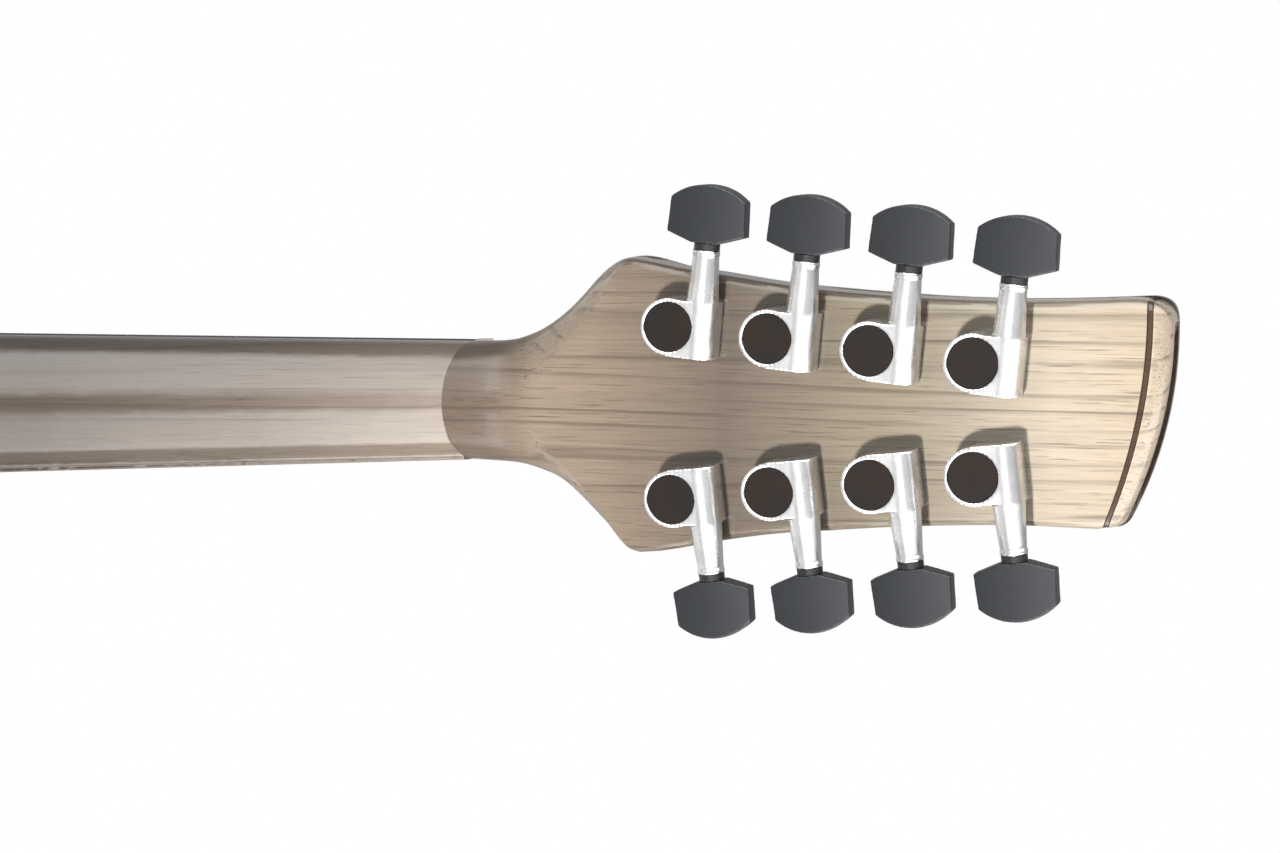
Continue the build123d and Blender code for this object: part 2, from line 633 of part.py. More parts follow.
def rosette():
    """Inlaid ring round the soundhole."""
    outer = rod((0, BODY_FACE, SOUNDHOLE_Z), (0, BODY_FACE + 1.2, SOUNDHOLE_Z), SOUNDHOLE_R + 10)
    ring = outer - rod((0, 0, SOUNDHOLE_Z), (0, 20, SOUNDHOLE_Z), SOUNDHOLE_R + 4)
    board = box(-60, 60, -10, 20, FINGERBOARD_END, FINGERBOARD_END + 60)
    return ring - board


def back():
    """Flat back."""
    return slab(body_outline(BINDING_THICKNESS), BODY_BACK - BACK_THICKNESS, BODY_BACK)


def binding():
    """Binding strips that cap the top and back edges."""
    front = rim(0, BINDING_THICKNESS, BODY_FACE, BODY_FACE + BINDING_HEIGHT)
    rear = rim(0, BINDING_THICKNESS, BODY_BACK - BINDING_HEIGHT, BODY_BACK)
    return Compound(children=[front, rear])


def sides():
    """The two bent sides, which meet on the centre line."""
    band = rim(0, SIDE_THICKNESS, BODY_FACE + TOP_THICKNESS, BODY_BACK - BACK_THICKNESS)
    for strip in binding().solids():
        band -= strip
    treble = band & box(0, 400, -50, 200, -900, -200)
    bass = band & box(-400, 0, -50, 200, -900, -200)
    for cutter in bolt_holes() + [end_pin_hole()] + tail_screw_shanks():
        treble -= cutter
        bass -= cutter
    return Compound(children=[treble, bass])


def neck_block():
    """Block inside the body that the neck is bolted to."""
    block = slab(body_outline(SIDE_THICKNESS), INSIDE_TOP, INSIDE_BACK)
    block &= box(-NECK_BLOCK_HALF, NECK_BLOCK_HALF, 0, 100, BODY_JOIN - NECK_BLOCK_LENGTH, BODY_JOIN)
    for cutter in bolt_holes():
        block -= cutter
    return block


def tail_block():
    """Block inside the tail of the body."""
    block = slab(body_outline(SIDE_THICKNESS), INSIDE_TOP, INSIDE_BACK)
    block &= box(-TAIL_BLOCK_HALF, TAIL_BLOCK_HALF, 0, 100, BODY_END, BODY_END + TAIL_BLOCK_LENGTH)
    for cutter in [end_pin_hole()] + tail_screw_shanks():
        block -= cutter
    return block


def neck_bolts():
    """Two hexagon bolts with washers that pull the heel against the body."""
    bolts = []
    seat = BODY_JOIN - NECK_BLOCK_LENGTH
    for depth in BOLT_DEPTHS:
        shank = rod((0, depth, seat), (0, depth, BODY_JOIN + 14), BOLT_R)
        plate = rod((0, depth, seat - 1.5), (0, depth, seat), 8.0)
        head = extrude(Plane(origin=(0, depth, seat - 6.0), z_dir=(0, 0, 1)) * RegularPolygon(5.8, 6), 4.5)
        bolts.append(shank + plate + head)
    return Compound(children=bolts)


def linings():
    """Lining strips that widen the glue joint of the sides to the top and back."""
    front = rim(SIDE_THICKNESS, SIDE_THICKNESS + LINING_WIDTH, INSIDE_TOP, INSIDE_TOP + LINING_HEIGHT)
    rear = rim(SIDE_THICKNESS, SIDE_THICKNESS + LINING_WIDTH, INSIDE_BACK - LINING_HEIGHT, INSIDE_BACK)
    gap_top = box(-NECK_BLOCK_HALF, NECK_BLOCK_HALF, 0, 100, BODY_JOIN - 100, BODY_JOIN)
    gap_tail = box(-TAIL_BLOCK_HALF, TAIL_BLOCK_HALF, 0, 100, BODY_END, BODY_END + 60)
    strips = []
    for strip in (front, rear):
        strips += (strip - gap_top - gap_tail).solids()
    return Compound(children=strips)


def brace(start, end, width, y0, y1):
    """Straight brace between two (x, z) points with its free edge rounded over."""
    run = Vector(end[0] - start[0], 0, end[1] - start[1])
    middle = ((start[0] + end[0]) / 2, (y0 + y1) / 2, (start[1] + end[1]) / 2)
    plane = Plane(origin=middle, x_dir=run, z_dir=(0, 1, 0))
    bar = Box(run.length, width, y1 - y0)
    free = bar.edges().filter_by(Axis.X).group_by(Axis.Z)[-1 if y0 < 40 else 0]
    return plane * fillet(free, width * 0.38)


def top_braces():
    """Cross braces either side of the soundhole and two splayed tone bars."""
    y0 = INSIDE_TOP
    room = slab(body_outline(SIDE_THICKNESS + LINING_WIDTH), y0 - 5, y0 + 40)
    bars = [brace((-200, z), (200, z), 8, y0, y0 + height) for z, height in ((-442, 14), (-570, 15))]
    bars += [brace((side * 38, -576), (side * 62, -765), 7, y0, y0 + 13) for side in (-1, 1)]
    return Compound(children=[b & room for b in bars])


def back_braces():
    """Four cross braces on the back."""
    y1 = INSIDE_BACK
    room = slab(body_outline(SIDE_THICKNESS + LINING_WIDTH), y1 - 40, y1 + 5)
    bars = [brace((-200, z), (200, z), 8, y1 - 13, y1) for z in (-450, -530, -625, -715)]
    return Compound(children=[bar & room for bar in bars])


def heel_cap():
    """Thin cap on the end of the heel, level with the back."""
    outline = make_face(Curve() + [Line((-11.5, BODY_JOIN - 10), (11.5, BODY_JOIN - 10)),
                                   Line((11.5, BODY_JOIN - 10), (11.5, BODY_JOIN)),
                                   Spline([(11.5, BODY_JOIN), (0, BODY_JOIN + 18), (-11.5, BODY_JOIN)],
                                          tangents=[(0, 1), (0, -1)]),
                                   Line((-11.5, BODY_JOIN), (-11.5, BODY_JOIN - 10))])
    return slab(outline, 81.5, BODY_BACK) - body_envelope()


def end_pin_hole():
    """Hole through the tail for the end pin."""
    return rod((0, PIN_DEPTH, BODY_END - 10), (0, PIN_DEPTH, BODY_END + 14), 4.0)


def end_pin():
    """Turned strap pin in the tail, with a collar, a waist and a knob."""
    z = BODY_END
    rings = [((0, PIN_DEPTH, z + 14), (0, PIN_DEPTH, z), 4.0, None),
             ((0, PIN_DEPTH, z), (0, PIN_DEPTH, z - 2.0), 7.5, 7.0),
             ((0, PIN_DEPTH, z - 2.0), (0, PIN_DEPTH, z - 6.0), 4.5, 4.0),
             ((0, PIN_DEPTH, z - 6.0), (0, PIN_DEPTH, z - 8.0), 6.0, 7.0),
             ((0, PIN_DEPTH, z - 8.0), (0, PIN_DEPTH, z - 10.5), 7.0, 5.2)]
    pin = rod(*rings[0][:3])
    for start, end, radius, end_radius in rings[1:]:
        pin += rod(start, end, radius, end_radius)
    return pin


# ---------------------------------------------------------------- strings and their anchors

def string_x(courses, pair):
    """Sideways place of each string, from the outer treble string to the outer bass string."""
    outer, inner = courses
    treble = [outer + pair, outer - pair, inner + pair, inner - pair]
    return treble + [-x for x in reversed(treble)]


def string_routes():
    """Corner points of each string from the tailpiece over saddle and nut to its post."""
    order = ["treble_1", "treble_2", "treble_3", "treble_4", "bass_4", "bass_3", "bass_2", "bass_1"]
    nut_x = string_x(COURSE_AT_NUT, PAIR_AT_NUT)
    saddle_x = string_x(COURSE_AT_BRIDGE, PAIR_AT_BRIDGE)
    places = post_places()
    routes = []
    for i, name in enumerate(order):
        radius = STRING_RADII[i]
        side, post_x, along = places[name]
        end_x = post_x - side * (WINDING_R + radius + 0.25)
        tail = (saddle_x[i], TAIL_STRING_Y, TAIL_BAR_Z - 3)
        saddle = (saddle_x[i], STRING_REST_SADDLE - radius, BRIDGE_Z)
        over_nut = (nut_x[i], STRING_REST_NUT - radius, STRING_LEAVES_NUT)
        end = head_point(end_x, along, HEAD_THICKNESS + WINDING_MIDDLE)
        routes.append((radius, [tail, saddle, over_nut, end]))
    return routes


def strings():
    """Eight strings with ball ends behind the tailpiece bar."""
    wires = []
    for radius, points in string_routes():
        wire = rod(points[0], points[1], radius)
        for i in (1, 2):
            wire += Pos(*points[i]) * Sphere(radius)
            wire += rod(points[i], points[i + 1], radius)
        wire += Pos(*points[0]) * Sphere(1.15)
        wires.append(wire)
    return Compound(children=wires)


def bridge():
    """Floating bridge: a long base with two feet and a slot for the saddle."""
    arch = ThreePointArc((-18, -BODY_FACE), (0, -BODY_FACE + 2.5), (18, -BODY_FACE))
    foot = [Line((18, -BODY_FACE), (62, -BODY_FACE)), Line((62, -BODY_FACE), (62, -2.0))]
    right = Spline([(62, -2.0), (34, 0.5), (26, 6.2)], tangents=[(-1, 0), (-0.3, 1)])
    left = Spline([(-26, 6.2), (-34, 0.5), (-62, -2.0)], tangents=[(-0.3, -1), (-1, 0)])
    other_foot = [Line((-62, -2.0), (-62, -BODY_FACE)), Line((-62, -BODY_FACE), (-18, -BODY_FACE))]
    base = make_face(Curve() + [arch] + foot + [right, Line((26, 6.2), (-26, 6.2)), left] + other_foot)
    flat = Plane(origin=(0, 0, BRIDGE_Z - 5.5), x_dir=(1, 0, 0), z_dir=(0, 0, 1))
    blank = mirror(extrude(flat * base, 11), Plane.XZ)
    return blank - box(-25.0, 25.0, -10, -2.2, BRIDGE_Z - 1.5, BRIDGE_Z + 1.5)


def saddle():
    """Bone saddle standing in the bridge."""
    blank = box(-25.0, 25.0, STRING_REST_SADDLE + 0.02, -2.2, BRIDGE_Z - 1.5, BRIDGE_Z + 1.5)
    return chamfer(blank.edges().filter_by(Axis.Z).group_by(Axis.Y)[0], 1.5)


def tail_screw_places():
    """Sideways and depth places of the tailpiece screws."""
    return ((-8.0, 16.0), (8.0, 16.0), (0.0, 30.0))


def tail_screw_shanks():
    """Shanks of the tailpiece screws."""
    return [rod((x, y, BODY_END - 3), (x, y, BODY_END + 12), 1.4) for x, y in tail_screw_places()]


def tailpiece():
    """Bent steel tailpiece: a leg screwed to the tail, a plate over the top and a slotted bar."""
    gauge = 1.6
    z_leg = BODY_END - gauge - 0.05
    leg = box(-14, 14, -2.4, 37, z_leg, BODY_END - 0.05)
    plate_outline = Polygon((-14, z_leg), (14, z_leg), (25, TAIL_BAR_Z), (-25, TAIL_BAR_Z), align=None)
    plate = slab(plate_outline, -2.4, -2.4 + gauge)
    bar = box(-25, 25, -7.2, -2.4 + gauge, TAIL_BAR_Z, TAIL_BAR_Z + 2.2)
    whole = leg + plate + bar
    for x, radius in zip(string_x(COURSE_AT_BRIDGE, PAIR_AT_BRIDGE), STRING_RADII):
        whole -= box(x - radius - 0.1, x + radius + 0.1, -9, -4.0 + radius, TAIL_BAR_Z - 1, TAIL_BAR_Z + 4)
    for x, y in tail_screw_places():
        whole -= rod((x, y, z_leg - 1), (x, y, BODY_END + 1), 1.5)
    return whole


def tailpiece_screws():
    """Round-head screws that hold the tailpiece's leg, each with a slot."""
    screws = []
    for x, y in tail_screw_places():
        top = BODY_END - 1.65
        head = Pos(x, y, top) * (Sphere(3.0) & Pos(0, 0, -2.0) * Box(8, 8, 4))
        shank = rod((x, y, top), (x, y, BODY_END + 12), 1.4)
        screws.append(head + shank - box(x - 4, x + 4, y - 0.4, y + 0.4, top - 4, top - 2.0))
    return Compound(children=screws)


# ---------------------------------------------------------------- assembly

def build_machine_heads():
    """Write every machine head: housings and small pieces in groups, moving pieces one node each."""
    housings = {"treble": [], "bass": []}
    covers = []
    collars = []
    bushings = []
    washers = []
    made = {}
    plain_worm = worm()
    plain_button = button()
    for hand in (1, -1):
        made[hand] = (housing(hand), collar(hand), string_post(hand), worm_place(hand))
    for name, (side, x, along) in post_places().items():
        plane = tuner_plane(side, x, along)
        body, ring, post, place = made[-side]
        housings[name.split("_")[0]].append(plane * body)
        covers.append(plane * cover_disc())
        collars.append(plane * ring)
        bushings.append(plane * bushing())
        washers.append(plane * washer())
        save("tuner_worm_" + name, plane * (place * plain_worm))
        save("tuner_button_" + name, plane * (place * plain_button))
        save("string_post_" + name, plane * post)
    for row, group in housings.items():
        save("tuner_housings_" + row, Compound(children=group))
    save("tuner_covers", Compound(children=covers))
    save("tuner_collars", Compound(children=collars))
    save("tuner_bushings", Compound(children=bushings))
    save("tuner_washers", Compound(children=washers))


def main():
    """Build every node and write it to its own file."""
    os.makedirs("parts", exist_ok=True)
    makers = [neck_shaft, headstock, headplate, nut, fingerboard, frets, fret_markers, truss_rod,
              truss_rod_nut, truss_rod_cover, cover_screws, soundboard, rosette, back, binding, sides,
              neck_block, tail_block, neck_bolts, linings, top_braces, back_braces, heel_cap, end_pin,
              strings, bridge, saddle, tailpiece, tailpiece_screws]
    for maker in makers:
        save(maker.__name__, maker())
    build_machine_heads()


main()
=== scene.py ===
"""A flat-backed eight-string bouzouki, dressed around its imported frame."""

import json
import logging
import math
from dataclasses import dataclass
from enum import Enum
from typing import Any, Sequence

import bmesh
import bpy
from mathutils import Matrix, Vector


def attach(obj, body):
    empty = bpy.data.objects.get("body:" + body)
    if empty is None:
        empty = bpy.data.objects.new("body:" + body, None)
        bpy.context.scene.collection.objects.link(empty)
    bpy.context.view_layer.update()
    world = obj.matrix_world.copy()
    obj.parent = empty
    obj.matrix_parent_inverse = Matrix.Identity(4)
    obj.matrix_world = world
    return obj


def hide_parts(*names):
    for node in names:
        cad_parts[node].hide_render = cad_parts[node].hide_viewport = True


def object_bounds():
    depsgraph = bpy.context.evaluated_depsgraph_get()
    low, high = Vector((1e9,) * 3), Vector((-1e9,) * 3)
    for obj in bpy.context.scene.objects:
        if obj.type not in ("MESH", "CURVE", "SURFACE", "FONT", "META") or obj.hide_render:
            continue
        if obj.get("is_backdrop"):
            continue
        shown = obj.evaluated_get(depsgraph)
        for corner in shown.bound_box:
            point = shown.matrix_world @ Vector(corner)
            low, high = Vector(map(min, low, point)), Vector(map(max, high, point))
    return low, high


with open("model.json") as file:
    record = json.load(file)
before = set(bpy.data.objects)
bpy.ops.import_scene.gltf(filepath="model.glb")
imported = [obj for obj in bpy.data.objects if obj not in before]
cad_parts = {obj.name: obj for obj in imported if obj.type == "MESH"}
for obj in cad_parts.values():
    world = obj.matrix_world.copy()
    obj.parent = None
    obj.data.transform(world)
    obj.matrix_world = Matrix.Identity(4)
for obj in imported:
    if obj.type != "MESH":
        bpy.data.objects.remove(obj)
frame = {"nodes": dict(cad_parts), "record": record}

LOG = logging.getLogger("bouzouki")
MM = 0.001
HEAD_TILT = math.radians(14.0)
GRAIN_STRETCH = (1.0, 1.0, 0.025)

Colour = tuple[float, float, float]
Point = tuple[float, float, float]


class Lamp(Enum):
    """Kinds of light in the studio."""

    SPOT = "SPOT"
    SOFTBOX = "AREA"


class Socket:
    """A shader socket that takes part in Python expressions."""

    def __init__(self, graph: "Graph", link: Any) -> None:
        """Wrap a node's output socket."""
        self.graph = graph
        self.link = link

    def __add__(self, other: "Value") -> "Socket":
        """Sum of two values."""
        return self.graph.math("ADD", self, other)

    def __sub__(self, other: "Value") -> "Socket":
        """Difference of two values."""
        return self.graph.math("SUBTRACT", self, other)

    def __rsub__(self, other: "Value") -> "Socket":
        """Difference with the socket on the right."""
        return self.graph.math("SUBTRACT", other, self)

    def __mul__(self, other: "Value") -> "Socket":
        """Product of two values."""
        return self.graph.math("MULTIPLY", self, other)

    def __pow__(self, other: "Value") -> "Socket":
        """One value to the power of another."""
        return self.graph.math("POWER", self, other)

    __radd__ = __add__
    __rmul__ = __mul__


Value = Socket | float


class Graph:
    """Node tree of one material or world, built up by calls."""

    def __init__(self, tree: Any) -> None:
        """Start from an empty tree."""
        self.tree = tree
        tree.nodes.clear()

    def node(self, kind: str, settings: dict[str, Any] | None = None,
             inputs: dict[Any, Any] | None = None, output: Any = 0) -> Socket:
        """Add one node.

        Args:
            kind: The node's type.
            settings: Attributes set before the sockets; "stops" fills a colour ramp.
            inputs: Socket name or number to a value or another socket.
            output: Name or number of the output to return.

        Returns:
            The chosen output, wrapped.
        """
        made = self.tree.nodes.new(kind)
        for name, setting in (settings or {}).items():
            if name == "stops":
                self._fill_ramp(made.color_ramp, setting)
            else:
                setattr(made, name, setting)
        for name, value in (inputs or {}).items():
            if isinstance(value, Socket):
                self.tree.links.new(value.link, made.inputs[name])
            else:
                made.inputs[name].default_value = value
        return Socket(self, made.outputs[output]) if made.outputs else Socket(self, made)

    @staticmethod
    def _fill_ramp(ramp: Any, stops: Sequence[tuple[float, Colour]]) -> None:
        """Give a colour ramp its stops.

        Args:
            ramp: The node's colour ramp.
            stops: Places from nought to one, each with its colour.
        """
        while len(ramp.elements) < len(stops):
            ramp.elements.new(0.5)
        for element, (place, colour) in zip(ramp.elements, stops):
            element.position = place
            element.color = (*colour, 1.0)

    def math(self, operation: str, *values: Value) -> Socket:
        """Math node on up to three values."""
        return self.node("ShaderNodeMath", {"operation": operation}, dict(enumerate(values)))

    def span(self, value: Value, low: float, high: float) -> Socket:
        """Smooth step from nought at low to one at high."""
        inputs = {"Value": value, "From Min": low, "From Max": high}
        return self.node("ShaderNodeMapRange", {"interpolation_type": "SMOOTHSTEP"}, inputs)

    def mix(self, share: Value, first: Any, second: Any, blend: str = "MIX") -> Socket:
        """Mix node on two colours.

        Args:
            share: How much of the second colour, from nought to one.
            first: First colour, as numbers or a socket.
            second: Second colour, as numbers or a socket.
            blend: The way they are mixed.

        Returns:
            The mixed colour.
        """
        settings = {"data_type": "RGBA", "blend_type": blend}
        first = first if isinstance(first, Socket) else (*first, 1.0)
        second = second if isinstance(second, Socket) else (*second, 1.0)
        return self.node("ShaderNodeMix", settings, {0: share, 6: first, 7: second}, 2)

    def ramp(self, value: Value, *stops: tuple[float, Colour]) -> Socket:
        """Colour ramp on a value."""
        return self.node("ShaderNodeValToRGB", {"stops": stops}, {"Fac": value})

    def place(self, scale: Point = (1.0, 1.0, 1.0), tilt: float = 0.0) -> Socket:
        """Object coordinates, turned about X and then scaled.

        Args:
            scale: Factor on each axis.
            tilt: Turn about X in radians.

        Returns:
            The coordinates.
        """
        where = self.node("ShaderNodeTexCoord", output="Object")
        if tilt:
            where = self.node("ShaderNodeMapping", inputs={"Vector": where, "Rotation": (tilt, 0.0, 0.0)})
        return self.node("ShaderNodeMapping", inputs={"Vector": where, "Scale": scale})

    def axis(self, where: Socket, name: str) -> Socket:
        """One coordinate of a vector."""
        return self.node("ShaderNodeSeparateXYZ", inputs={0: where}, output=name)

    def noise(self, where: Socket, scale: float, detail: float = 4.0, rough: float = 0.55) -> Socket:
        """Noise texture's value.

        Args:
            where: Coordinates to read it at.
            scale: Its fineness, in lumps per metre.
            detail: Number of finer layers.
            rough: Strength of the finer layers.

        Returns:
            A value around a half.
        """
        inputs = {"Vector": where, "Scale": scale, "Detail": detail, "Roughness": rough}
        return self.node("ShaderNodeTexNoise", inputs=inputs)

    def bump(self, height: Value, depth: float, strength: float = 1.0) -> Socket:
        """Bump normal from a height between nought and one, depth in metres."""
        inputs = {"Height": height, "Distance": depth, "Strength": strength}
        return self.node("ShaderNodeBump", inputs=inputs)

    def principled(self, **sockets: Any) -> None:
        """Principled shader as the tree's surface.

        Args:
            sockets: Values or links by socket name, with underscores for its spaces.
        """
        inputs = {name.replace("_", " "): value for name, value in sockets.items()}
        for name, value in inputs.items():
            if not isinstance(value, Socket) and isinstance(value, tuple) and len(value) == 3:
                inputs[name] = (*value, 1.0)
        shader = self.node("ShaderNodeBsdfPrincipled", inputs=inputs)
        self.node("ShaderNodeOutputMaterial", inputs={"Surface": shader})


def new_material(name: str) -> tuple[bpy.types.Material, Graph]:
    """Start a node material.

    Args:
        name: The material's name.

    Returns:
        The material and its empty graph.
    """
    material = bpy.data.materials.new(name)
    material.use_nodes = True
    return material, Graph(material.node_tree)


@dataclass(frozen=True)
class Timber:
    """Timber under lacquer: wandering growth lines, pores and fibres that run along the grain."""

    name: str
    tones: tuple[tuple[float, Colour], ...]
    line: Colour
    tilt: float = 0.0
    line_pitch: float = 0.0052
    line_depth: float = 0.55
    pores: float = 0.6
    roughness: float = 0.42
    coat: float = 1.0
    coat_roughness: float = 0.06
    contrast: float = 0.35

    def make(self) -> bpy.types.Material:
        """Build the material.

        Returns:
            The finished material.
        """
        material, g = new_material(self.name)
        even = g.place(tilt=self.tilt)
        grain = g.place(GRAIN_STRETCH, self.tilt)
        along = g.axis(even, "Z") * (1.0 / MM)
        # Ramp of tones along the piece; on the head and the neck it holds painted light as well as the
        # wood's own colour.
        start, stop = self.tones[0][0], self.tones[-1][0]
        stops = [((place - start) / (stop - start), colour) for place, colour in self.tones]
        share = (along - start) * (1.0 / (stop - start))
        base = g.ramp(share, *stops)

        wander = g.noise(g.place((1.0, 1.0, 2.0 * GRAIN_STRETCH[2]), self.tilt), 26.0, 2.0, 0.5)
        rings = g.math("FRACT", g.axis(even, "X") * (1.0 / self.line_pitch) + wander * 7.0)
        dashes = g.noise(grain, 420.0, 3.0, 0.6)
        line = g.span(rings, 0.60, 0.93) * g.span(rings, 1.0, 0.95) * g.span(dashes, 0.36, 0.62)
        fibre = g.noise(grain, 1500.0, 4.0, 0.65)
        cloud = g.noise(g.place((1.0, 1.0, 0.3), self.tilt), 60.0, 3.0)
        speck = g.span(g.noise(grain, 2600.0, 2.0, 0.5), 0.58, 0.70)
        pore = speck * g.span(cloud, 0.25, 0.60) * self.pores
        shade = (fibre - 0.5) * 1.6 + (cloud - 0.5) * 0.9
        tone = shade * self.contrast + 1.0
        grey = g.node("ShaderNodeCombineColor", inputs={0: tone, 1: tone, 2: tone})
        colour = g.mix(1.0, base, grey, "MULTIPLY")
        dark = g.math("MAXIMUM", line * self.line_depth, pore)
        colour = g.mix(dark, colour, self.line)
        g.principled(Base_Color=colour, Roughness=dark * 0.12 + self.roughness,
                     Coat_Weight=self.coat, Coat_Roughness=self.coat_roughness, Coat_IOR=1.5,
                     Specular_IOR_Level=0.08, Normal=g.bump(1.0 - dark, 0.00005, 0.3))
        return material


@dataclass(frozen=True)
class Spruce:
    """Straight-grained soundboard or brace wood with fine year rings."""

    name: str
    early: Colour
    late: Colour
    coat: float

    def make(self) -> bpy.types.Material:
        """Build the material.

        Returns:
            The finished material.
        """
        material, g = new_material(self.name)
        wander = g.noise(g.place((1.0, 1.0, 0.05)), 16.0, 2.0)
        across = g.axis(g.place(), "X")
        rings = g.math("SINE", (across + wander * 0.012) * 3900.0) * 0.5 + 0.5
        silk = g.noise(g.place((1.0, 1.0, 0.02)), 1800.0, 3.0)
        tone = g.noise(g.place((1.0, 1.0, 0.1)), 22.0, 3.0)
        line = rings ** 3.0 * 0.55 + silk * 0.25
        colour = g.mix(line, self.early, self.late)
        colour = g.mix(g.span(tone, 0.35, 0.75) * 0.35, colour, self.late)
        g.principled(Base_Color=colour, Roughness=silk * 0.2 + 0.35, Coat_Weight=self.coat,
                     Coat_Roughness=0.08, Normal=g.bump(1.0 - line, 0.00004, 0.3))
        return material


@dataclass(frozen=True)
class Metal:
    """Plated or plain metal with cloudy polish and faint scratches."""

    name: str
    colour: Colour
    roughness: float
    wear: float = 0.08

    def make(self) -> bpy.types.Material:
        """Build the material.

        Returns:
            The finished material.
        """
        material, g = new_material(self.name)
        cloud = g.noise(g.place(), 160.0, 4.0)
        scratch = g.noise(g.place((1.0, 6.0, 1.0)), 900.0, 2.0)
        rough = cloud * self.wear + scratch * self.wear * 0.6 + self.roughness
        deep = tuple(c * 0.82 for c in self.colour)
        g.principled(Base_Color=g.mix(g.span(cloud, 0.35, 0.7), self.colour, deep), Roughness=rough,
                     Metallic=1.0, Normal=g.bump(cloud * 0.6 + scratch * 0.4, 0.00002, 0.15))
        return material


@dataclass(frozen=True)
class Moulding:
    """Moulded or turned hard material: plastic, bone or shell."""

    name: str
    colour: Colour
    roughness: float
    mottle: float = 0.15
    depth: float = 0.00003
    coat: float = 0.0
    shine: float = 0.5
    second: Colour | None = None

    def make(self) -> bpy.types.Material:
        """Build the material.

        Returns:
            The finished material.
        """
        material, g = new_material(self.name)
        fine = g.noise(g.place(), 900.0, 3.0)
        broad = g.noise(g.place(), 120.0, 3.0)
        other = self.second or tuple(c * (1.0 - self.mottle) for c in self.colour)
        g.principled(Base_Color=g.mix(g.span(broad, 0.35, 0.68), self.colour, other),
                     Roughness=fine * 0.12 + self.roughness, Coat_Weight=self.coat, Coat_Roughness=0.05,
                     Specular_IOR_Level=self.shine, Normal=g.bump(fine, self.depth, 0.25))
        return material


# Tones along the head, in millimetres from the nut: partly the wood's own colour and partly painted light.
# The pale cream tip is painted sheen, standing in for glare on the lacquer and for the lamp's fall-off
# towards the tip. The darker and lighter steps between were fitted to the lit wood, so they carry painted
# shade as well.
HEAD_TONES_AND_PAINTED_LIGHT = ((0.0, (0.20, 0.145, 0.105)), (12.0, (0.23, 0.17, 0.125)), (24.0, (0.39, 0.30, 0.22)),
              (42.0, (0.37, 0.28, 0.205)), (62.0, (0.28, 0.215, 0.16)), (79.0, (0.21, 0.165, 0.125)),
              (102.0, (0.31, 0.25, 0.185)), (124.0, (0.42, 0.345, 0.245)), (146.0, (0.56, 0.475, 0.37)),
              (169.0, (0.82, 0.69, 0.53)), (192.0, (0.80, 0.65, 0.48)))
# Tones along the neck, in millimetres from the nut: darker around 127 mm down, and lighter towards the
# joint. The rise towards the joint is partly the wood's own colour and partly painted sheen of the lacquer
# there.
NECK_TONES_AND_PAINTED_SHEEN = ((-360.0, (0.18, 0.145, 0.115)), (-127.0, (0.125, 0.10, 0.08)), (-62.0, (0.22, 0.175, 0.14)),
              (-20.0, (0.34, 0.27, 0.21)), (6.0, (0.40, 0.32, 0.25)))
BODY_TONES = ((-800.0, (0.25, 0.195, 0.15)), (-360.0, (0.27, 0.21, 0.16)))


def plain(colour: Colour, deeper: float = 0.7) -> tuple[tuple[float, Colour], ...]:
    """Tones that fade from a colour at the head's tip to a deeper one at the tail."""
    return (-800.0, tuple(c * deeper for c in colour)), (200.0, colour)


FINISHES: dict[str, Any] = {
    "neck_wood": Timber("neck_wood", NECK_TONES_AND_PAINTED_SHEEN, (0.075, 0.050, 0.036)),
    "head_wood": Timber("head_wood", HEAD_TONES_AND_PAINTED_LIGHT, (0.070, 0.046, 0.032), tilt=HEAD_TILT),
    "body_wood": Timber("body_wood", BODY_TONES, (0.070, 0.046, 0.032), line_pitch=0.0075),
    # Painted dark reflection: a dark line on the groove where the head's tip bevel begins, standing in for
    # the lacquered curve reflecting dark surroundings.
    "painted_groove_reflection": Timber("painted_groove_reflection", plain((0.13, 0.085, 0.055)), (0.05, 0.03, 0.02), tilt=HEAD_TILT),
    "veneer": Timber("veneer", plain((0.060, 0.032, 0.022)), (0.008, 0.005, 0.004), tilt=HEAD_TILT),
    "ebony": Timber("ebony", plain((0.026, 0.023, 0.022)), (0.006, 0.006, 0.006), roughness=0.5,
                    coat=0.15, coat_roughness=0.3, line_depth=0.3),
    "bone": Moulding("bone", (0.80, 0.74, 0.60), 0.32, 0.12, coat=0.3),
    "fret_wire": Metal("fret_wire", (0.72, 0.70, 0.66), 0.18),
    "pearl": Moulding("pearl", (0.82, 0.84, 0.82), 0.15, coat=0.8, second=(0.62, 0.70, 0.72)),
    "steel": Metal("steel", (0.50, 0.50, 0.51), 0.32, 0.15),
    "brass": Metal("brass", (0.70, 0.50, 0.20), 0.26, 0.15),
    "satin_chrome": Metal("satin_chrome", (0.80, 0.80, 0.805), 0.24, 0.05),
    "cover_plastic": Moulding("cover_plastic", (0.014, 0.008, 0.005), 0.30, shine=0.3,
                              second=(0.009, 0.007, 0.006)),
    "black_plastic": Moulding("black_plastic", (0.012, 0.012, 0.013), 0.35),
    "button_plastic": Moulding("button_plastic", (0.014, 0.016, 0.019), 0.34, depth=0.00002),
    "spruce": Spruce("spruce", (0.62, 0.44, 0.24), (0.36, 0.20, 0.085), 1.0),
    "brace_spruce": Spruce("brace_spruce", (0.66, 0.52, 0.33), (0.42, 0.28, 0.14), 0.0),
    "block_wood": Timber("block_wood", plain((0.40, 0.25, 0.14)), (0.16, 0.08, 0.04), coat=0.0),
    "binding_wood": Timber("binding_wood", plain((0.060, 0.034, 0.024)), (0.008, 0.005, 0.004)),
    "string_metal": Metal("string_metal", (0.62, 0.56, 0.47), 0.25),
    "tail_metal": Metal("tail_metal", (0.72, 0.72, 0.73), 0.16),
}


